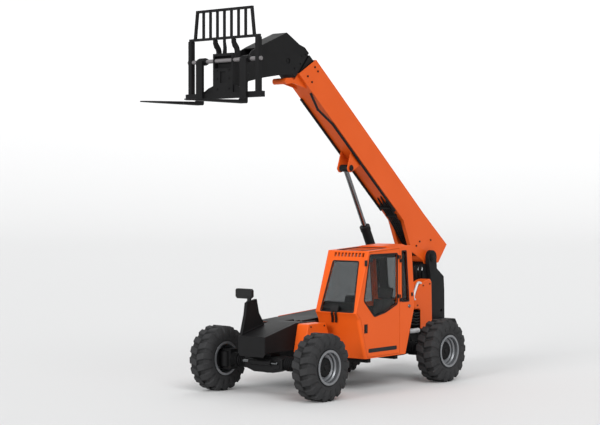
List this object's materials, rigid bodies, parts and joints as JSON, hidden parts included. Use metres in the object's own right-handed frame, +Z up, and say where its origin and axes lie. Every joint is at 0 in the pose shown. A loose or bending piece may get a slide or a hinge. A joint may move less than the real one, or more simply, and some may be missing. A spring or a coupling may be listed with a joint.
{
  "type": "telehandler",
  "caption": "Telescopic handler with an offset cab, side engine bay, steered lugged wheels and a high rear pivot carrying a telescoping boom with a tilting fork carriage.",
  "frame": {"origin": "on the ground under the middle of the machine's length and width, boom as parked", "axes": "+Z up, -Y forwards towards the forks, +X to the machine's left, the cab's side"},
  "size_m": [2.57, 7.2056, 6.1302],
  "materials": {
    "orange_paint": "gloss",
    "black_paint": "satin",
    "black_casting": "satin",
    "wheel_silver": "satin",
    "tyre_rubber": "matte",
    "tinted_glass": "gloss",
    "seat_vinyl": "matte",
    "control_plastic": "matte",
    "engine_iron": "matte",
    "bright_steel": "gloss",
    "hose_rubber": "matte"
  },
  "bodies": {
    "chassis": {"main_frame": "black_paint", "frame_left": "black_paint", "frame_right": "black_paint", "counterweight": "black_casting", "front_axle": "black_paint", "rear_axle": "black_paint", "cab_floor": "black_paint", "cab_front": "orange_paint", "cab_rear": "orange_paint", "cab_roof": "orange_paint", "cab_left": "orange_paint", "cab_right": "orange_paint", "cab_glass": "tinted_glass", "seat": "seat_vinyl", "cab_controls": "control_plastic", "front_cover": "orange_paint", "engine_bay": "black_paint", "engine_block": "engine_iron", "hydraulic_tank": "black_paint", "valve_block": "black_paint", "rear_panel": "orange_paint", "front_mirror": "black_paint"},
    "front_left_steer": {"front_left_knuckle": "black_paint"},
    "front_left_wheel": {"front_left_rim": "wheel_silver", "front_left_tyre": "tyre_rubber"},
    "front_right_steer": {"front_right_knuckle": "black_paint"},
    "front_right_wheel": {"front_right_rim": "wheel_silver", "front_right_tyre": "tyre_rubber"},
    "rear_left_steer": {"rear_left_knuckle": "black_paint"},
    "rear_left_wheel": {"rear_left_rim": "wheel_silver", "rear_left_tyre": "tyre_rubber"},
    "rear_right_steer": {"rear_right_knuckle": "black_paint"},
    "rear_right_wheel": {"rear_right_rim": "wheel_silver", "rear_right_tyre": "tyre_rubber"},
    "boom": {"boom_outer": "orange_paint", "boom_hoses": "hose_rubber"},
    "boom_second": {"boom_mid": "black_paint"},
    "boom_third": {"boom_inner": "black_paint", "boom_head": "black_paint", "tilt_barrel": "black_paint"},
    "tilt_piston": {"tilt_rod": "bright_steel"},
    "fork_carriage": {"carriage": "black_paint", "fork_shaft": "bright_steel", "load_guard": "black_paint", "left_fork": "black_paint", "right_fork": "black_paint"},
    "lift_cylinder": {"lift_barrel": "black_paint"},
    "lift_piston": {"lift_rod": "bright_steel"},
    "cab_door": {"door": "orange_paint", "door_glass": "tinted_glass"},
    "hood": {"engine_hood": "orange_paint"}
  },
  "joints": [
    {"name": "front_left_steering", "type": "hinge", "parent": "chassis", "child": "front_left_steer", "pos_m": [0.93, -1.21227, 0.535], "axis": [0, 0, 1], "range_deg": [-35, 35]},
    {"name": "front_left_roll", "type": "hinge", "parent": "front_left_steer", "child": "front_left_wheel", "pos_m": [1.09, -1.21227, 0.535], "axis": [1, 0, 0], "continuous": true},
    {"name": "front_right_steering", "type": "hinge", "parent": "chassis", "child": "front_right_steer", "pos_m": [-0.93, -1.21227, 0.535], "axis": [0, 0, 1], "range_deg": [-35, 35]},
    {"name": "front_right_roll", "type": "hinge", "parent": "front_right_steer", "child": "front_right_wheel", "pos_m": [-1.09, -1.21227, 0.535], "axis": [1, 0, 0], "continuous": true},
    {"name": "rear_left_steering", "type": "hinge", "parent": "chassis", "child": "rear_left_steer", "pos_m": [0.93, 2.08773, 0.535], "axis": [0, 0, 1], "range_deg": [-35, 35]},
    {"name": "rear_left_roll", "type": "hinge", "parent": "rear_left_steer", "child": "rear_left_wheel", "pos_m": [1.09, 2.08773, 0.535], "axis": [1, 0, 0], "continuous": true},
    {"name": "rear_right_steering", "type": "hinge", "parent": "chassis", "child": "rear_right_steer", "pos_m": [-0.93, 2.08773, 0.535], "axis": [0, 0, 1], "range_deg": [-35, 35]},
    {"name": "rear_right_roll", "type": "hinge", "parent": "rear_right_steer", "child": "rear_right_wheel", "pos_m": [-1.09, 2.08773, 0.535], "axis": [1, 0, 0], "continuous": true},
    {"name": "boom_lift", "type": "hinge", "parent": "chassis", "child": "boom", "pos_m": [0, 2.98773, 2.09], "axis": [-1, 0, 0], "range_deg": [-47, 30]},
    {"name": "boom_extend", "type": "slide", "parent": "boom", "child": "boom_second", "axis": [0, -0.766, 0.6428], "range_m": [0, 3.4]},
    {"name": "boom_extend_inner", "type": "slide", "parent": "boom_second", "child": "boom_third", "axis": [0, -0.766, 0.6428], "range_m": [0, 3.4]},
    {"name": "fork_tilt", "type": "hinge", "parent": "boom_third", "child": "fork_carriage", "pos_m": [0, -1.96249, 5.10019], "axis": [1, 0, 0], "range_deg": [-58, 45]},
    {"name": "tilt_rod_slide", "type": "slide", "parent": "boom_third", "child": "tilt_piston", "axis": [0, -0.9991, -0.0423], "range_m": [-0.225, 0.175]},
    {"name": "lift_barrel_swing", "type": "hinge", "parent": "chassis", "child": "lift_cylinder", "pos_m": [0, 2.38773, 0.75], "axis": [-1, 0, 0], "range_deg": [-36, 23]},
    {"name": "lift_rod_slide", "type": "slide", "parent": "lift_cylinder", "child": "lift_piston", "axis": [0, -0.4776, 0.8786], "range_m": [-1.07, 0.69]},
    {"name": "door_swing", "type": "hinge", "parent": "chassis", "child": "cab_door", "pos_m": [1.091, 0.89273, 1.4], "axis": [0, 0, 1], "range_deg": [0, 110]},
    {"name": "hood_lift", "type": "hinge", "parent": "chassis", "child": "hood", "pos_m": [-0.304, 0.51848, 1.15147], "axis": [0, 0.9981, 0.061], "range_deg": [0, 60]}
  ],
  "couplings": [
    {"joint": "front_right_steering", "follows": "front_left_steering", "ratio": 1},
    {"joint": "rear_right_steering", "follows": "rear_left_steering", "ratio": 1},
    {"joint": "boom_extend_inner", "follows": "boom_extend", "ratio": 1},
    {"joint": "tilt_rod_slide", "follows": "fork_tilt", "m_per_rad": 0.217},
    {"joint": "lift_barrel_swing", "follows": "boom_lift", "ratio": 0.755},
    {"joint": "lift_rod_slide", "follows": "boom_lift", "m_per_rad": 1.289}
  ]
}
